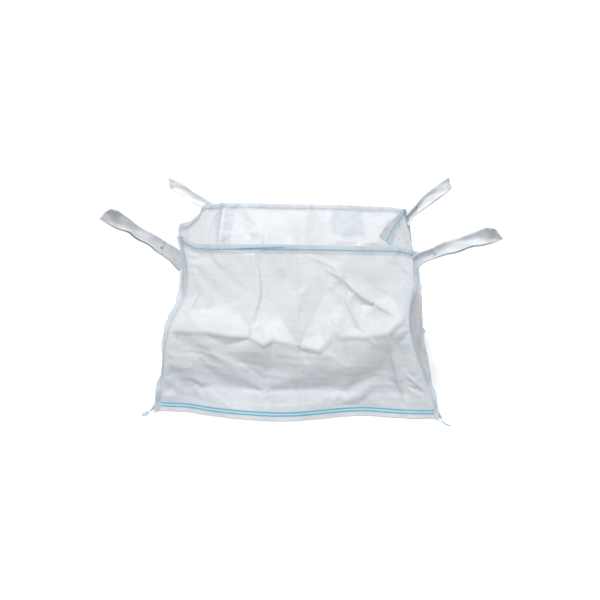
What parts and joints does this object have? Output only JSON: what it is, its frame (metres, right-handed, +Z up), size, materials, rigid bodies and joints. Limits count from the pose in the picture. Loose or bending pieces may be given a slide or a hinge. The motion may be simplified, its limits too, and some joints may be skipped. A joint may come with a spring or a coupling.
{
  "type": "bulk bag",
  "caption": "Open-top woven bulk bag standing empty, with sewn side and base panels, a stitched hem and a webbing lifting loop at each corner.",
  "frame": {"origin": "centre of the underside of the base, on the floor", "axes": "+X to the bag's right seen from the front, +Y to the back, +Z up through the open mouth"},
  "size_m": [1.2231, 1.1862, 0.6951],
  "materials": {
    "woven_fabric": "coated woven tape, slight sheen",
    "webbing": "woven webbing",
    "blue_thread": "twisted sewing thread",
    "label": "satin film"
  },
  "bodies": {
    "bag": {"base_panel": "woven_fabric", "front_panel": "woven_fabric", "right_panel": "woven_fabric", "back_panel": "woven_fabric", "left_panel": "woven_fabric", "hem_stitch": "blue_thread", "base_stitch_front": "blue_thread", "base_stitch_right": "blue_thread", "base_stitch_back": "blue_thread", "base_stitch_left": "blue_thread", "corner_stitch_front_left": "blue_thread", "corner_stitch_front_right": "blue_thread", "corner_stitch_back_right": "blue_thread", "corner_stitch_back_left": "blue_thread", "loop_end_front_left": "webbing", "loop_end_front_right": "webbing", "loop_end_back_right": "webbing", "loop_end_back_left": "webbing", "thread_tail_front_left": "blue_thread", "thread_tail_front_right": "blue_thread", "blank_label": "label"},
    "neck_front_left": {"loop_neck_front_left": "webbing", "loop_tack_front_left": "blue_thread"},
    "loop_front_left": {"lift_loop_front_left": "webbing"},
    "neck_front_right": {"loop_neck_front_right": "webbing", "loop_tack_front_right": "blue_thread"},
    "loop_front_right": {"lift_loop_front_right": "webbing"},
    "neck_back_right": {"loop_neck_back_right": "webbing", "loop_tack_back_right": "blue_thread"},
    "loop_back_right": {"lift_loop_back_right": "webbing"},
    "neck_back_left": {"loop_neck_back_left": "webbing", "loop_tack_back_left": "blue_thread"},
    "loop_back_left": {"lift_loop_back_left": "webbing"}
  },
  "joints": [
    {"name": "raise_front_left", "type": "hinge", "parent": "bag", "child": "neck_front_left", "pos_m": [-0.39879, -0.41175, 0.518], "axis": [-0.7193, 0.6947, 0], "range_deg": [-97, 56]},
    {"name": "bend_front_left", "type": "hinge", "parent": "neck_front_left", "child": "loop_front_left", "pos_m": [-0.42667, -0.44063, 0.54611], "axis": [0.3984, 0.4126, 0.8192], "range_deg": [-50, 50]},
    {"name": "raise_front_right", "type": "hinge", "parent": "bag", "child": "neck_front_right", "pos_m": [0.39779, -0.40851, 0.518], "axis": [-0.6018, -0.7986, 0], "range_deg": [-86, 67]},
    {"name": "bend_front_right", "type": "hinge", "parent": "neck_front_right", "child": "loop_front_right", "pos_m": [0.43354, -0.43545, 0.53793], "axis": [-0.3248, 0.2448, 0.9135], "range_deg": [-50, 50]},
    {"name": "raise_back_right", "type": "hinge", "parent": "bag", "child": "neck_back_right", "pos_m": [0.39484, 0.39468, 0.518], "axis": [0.7771, -0.6293, 0], "range_deg": [-81, 72]},
    {"name": "bend_back_right", "type": "hinge", "parent": "neck_back_right", "child": "loop_back_right", "pos_m": [0.424, 0.43068, 0.53395], "axis": [-0.2049, -0.253, 0.9455], "range_deg": [-50, 50]},
    {"name": "raise_back_left", "type": "hinge", "parent": "bag", "child": "neck_back_left", "pos_m": [-0.39952, 0.41963, 0.518], "axis": [0.5878, 0.809, 0], "range_deg": [-79, 74]},
    {"name": "bend_back_left", "type": "hinge", "parent": "neck_back_left", "child": "loop_back_left", "pos_m": [-0.43743, 0.44717, 0.53233], "axis": [0.2365, -0.1719, 0.9563], "range_deg": [-50, 50]}
  ]
}
